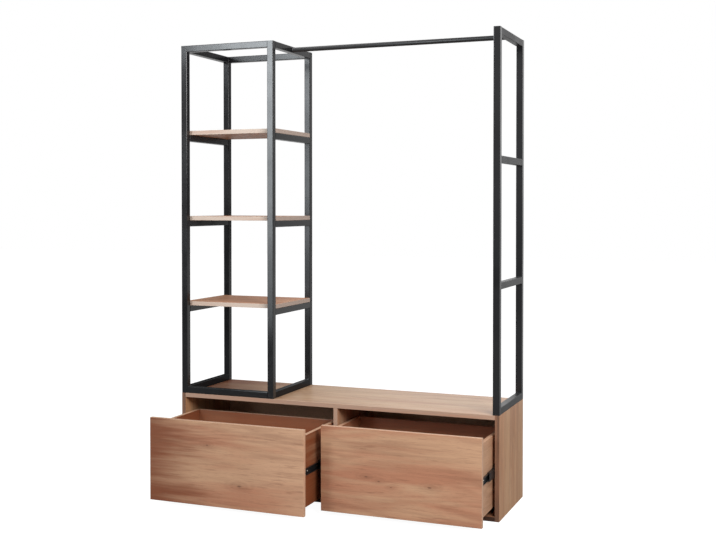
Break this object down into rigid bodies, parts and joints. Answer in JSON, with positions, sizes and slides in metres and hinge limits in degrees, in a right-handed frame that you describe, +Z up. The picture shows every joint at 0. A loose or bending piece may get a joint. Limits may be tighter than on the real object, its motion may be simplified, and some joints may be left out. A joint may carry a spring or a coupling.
{
  "type": "open frame wardrobe",
  "caption": "Low cabinet with drawers that carries an open shelf tower, an end frame and a clothes rod of square and round steel tube.",
  "frame": {"origin": "middle of the cabinet's footprint, on the floor", "axes": "+Z up, -Y towards the user and the way the drawers open, +X from the shelf tower to the end frame"},
  "size_m": [1.4, 0.685, 1.9],
  "materials": {
    "oak_laminate": "matte wood-grain laminate",
    "backing_board": "thin smooth board, matte",
    "powder_coat": "satin black powder coat",
    "slide_steel": "smooth black plated steel"
  },
  "bodies": {
    "cabinet": {"side_panel_left": "oak_laminate", "side_panel_right": "oak_laminate", "top_panel": "oak_laminate", "bottom_panel": "oak_laminate", "divider_panel": "oak_laminate", "back_panel": "backing_board", "tower_post_front_left": "powder_coat", "tower_post_front_right": "powder_coat", "tower_post_back_left": "powder_coat", "tower_post_back_right": "powder_coat", "tower_base_rail_front": "powder_coat", "tower_base_rail_left": "powder_coat", "tower_base_rail_right": "powder_coat", "tower_top_rail_front": "powder_coat", "tower_top_rail_back": "powder_coat", "tower_top_rail_left": "powder_coat", "tower_top_rail_right": "powder_coat", "shelf_rail_left_1": "powder_coat", "shelf_rail_right_1": "powder_coat", "shelf_rail_left_2": "powder_coat", "shelf_rail_right_2": "powder_coat", "shelf_rail_left_3": "powder_coat", "shelf_rail_right_3": "powder_coat", "end_frame_post_front": "powder_coat", "end_frame_post_back": "powder_coat", "end_frame_base_rail": "powder_coat", "end_frame_crossbar_lower": "powder_coat", "end_frame_crossbar_upper": "powder_coat", "end_frame_top_rail": "powder_coat", "clothes_rod": "powder_coat", "shelf_1": "oak_laminate", "shelf_2": "oak_laminate", "shelf_3": "oak_laminate", "left_drawer_slide_left_outer": "slide_steel", "left_drawer_slide_right_outer": "slide_steel", "right_drawer_slide_left_outer": "slide_steel", "right_drawer_slide_right_outer": "slide_steel"},
    "left_drawer": {"left_drawer_front": "oak_laminate", "left_drawer_side_left": "oak_laminate", "left_drawer_side_right": "oak_laminate", "left_drawer_back": "oak_laminate", "left_drawer_bottom": "backing_board", "left_drawer_slide_left_inner": "slide_steel", "left_drawer_slide_right_inner": "slide_steel"},
    "left_runners": {"left_drawer_slide_left_middle": "slide_steel", "left_drawer_slide_right_middle": "slide_steel"},
    "right_drawer": {"right_drawer_front": "oak_laminate", "right_drawer_side_left": "oak_laminate", "right_drawer_side_right": "oak_laminate", "right_drawer_back": "oak_laminate", "right_drawer_bottom": "backing_board", "right_drawer_slide_left_inner": "slide_steel", "right_drawer_slide_right_inner": "slide_steel"},
    "right_runners": {"right_drawer_slide_left_middle": "slide_steel", "right_drawer_slide_right_middle": "slide_steel"}
  },
  "joints": [
    {"name": "left_drawer_slide", "type": "slide", "parent": "cabinet", "child": "left_drawer", "axis": [0, -1, 0], "range_m": [-0.285, 0.065]},
    {"name": "left_runners_slide", "type": "slide", "parent": "cabinet", "child": "left_runners", "axis": [0, -1, 0], "range_m": [-0.1425, 0.0325]},
    {"name": "right_drawer_slide", "type": "slide", "parent": "cabinet", "child": "right_drawer", "axis": [0, -1, 0], "range_m": [-0.175, 0.175]},
    {"name": "right_runners_slide", "type": "slide", "parent": "cabinet", "child": "right_runners", "axis": [0, -1, 0], "range_m": [-0.0875, 0.0875]}
  ],
  "couplings": [
    {"joint": "left_runners_slide", "follows": "left_drawer_slide", "ratio": 0.5},
    {"joint": "right_runners_slide", "follows": "right_drawer_slide", "ratio": 0.5}
  ]
}
